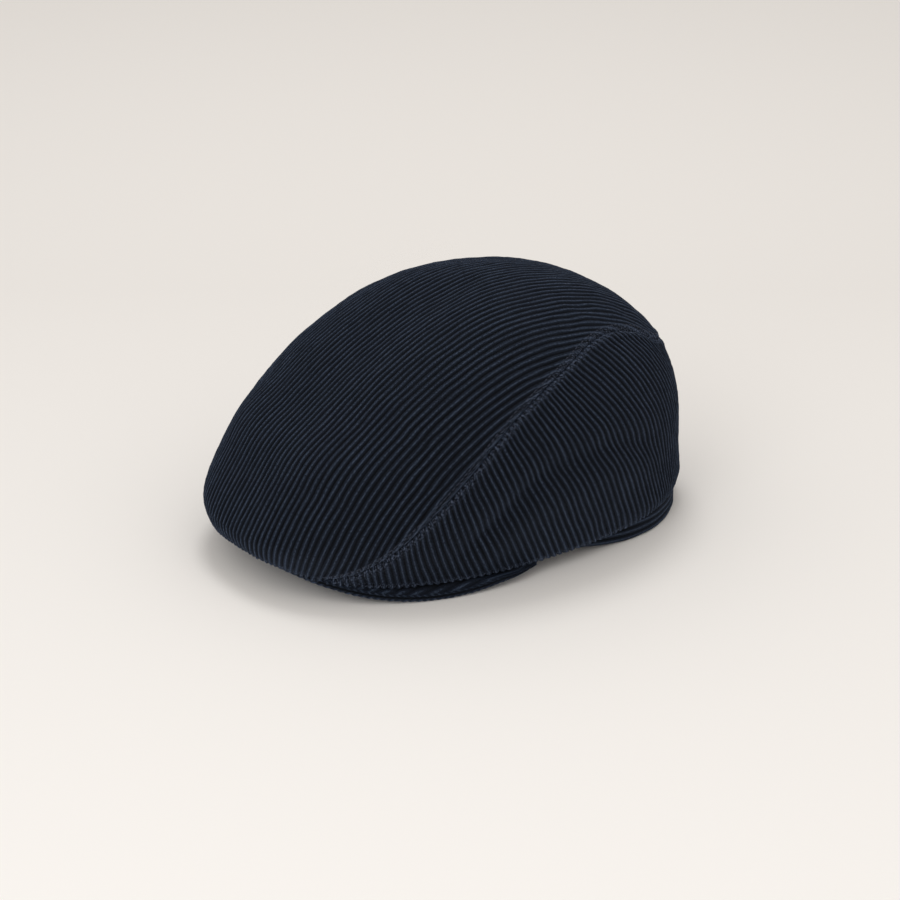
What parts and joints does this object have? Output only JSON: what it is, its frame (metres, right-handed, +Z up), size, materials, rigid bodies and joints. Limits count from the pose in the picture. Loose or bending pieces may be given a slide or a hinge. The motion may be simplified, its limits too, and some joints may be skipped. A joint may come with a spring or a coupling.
{
  "type": "flat cap",
  "caption": "Flat cap in wide-wale corduroy: long top panel sewn to a stiffened peak, two side panels, hem band, lining and sweatband.",
  "frame": {"origin": "on the floor, under the middle of the cap's box", "axes": "+Z up, +Y from the peak to the back of the cap, +X towards the wearer's left"},
  "size_m": [0.194, 0.2711, 0.1319],
  "materials": {
    "corduroy": "navy wide-wale cotton corduroy, matt pile",
    "interlining": "fusible woven interlining",
    "lining": "navy satin lining, low sheen",
    "tape": "woven cotton stay tape",
    "elastic": "knitted elastic",
    "sweatband": "twilled cotton sweatband",
    "board": "flexible moulded peak board",
    "label": "woven blank label"
  },
  "bodies": {
    "root": {"top_panel": "corduroy", "left_side_panel": "corduroy", "right_side_panel": "corduroy", "top_interlining": "interlining", "left_side_interlining": "interlining", "right_side_interlining": "interlining", "top_lining": "lining", "left_side_lining": "lining", "right_side_lining": "lining", "hem_band": "corduroy", "head_tape": "tape", "sweatband_elastic": "elastic", "sweatband": "sweatband", "peak_board": "board", "peak_top_cover": "corduroy", "peak_under_cover": "corduroy", "maker_patch": "label", "size_label": "label", "care_label": "label"}
  },
  "joints": []
}
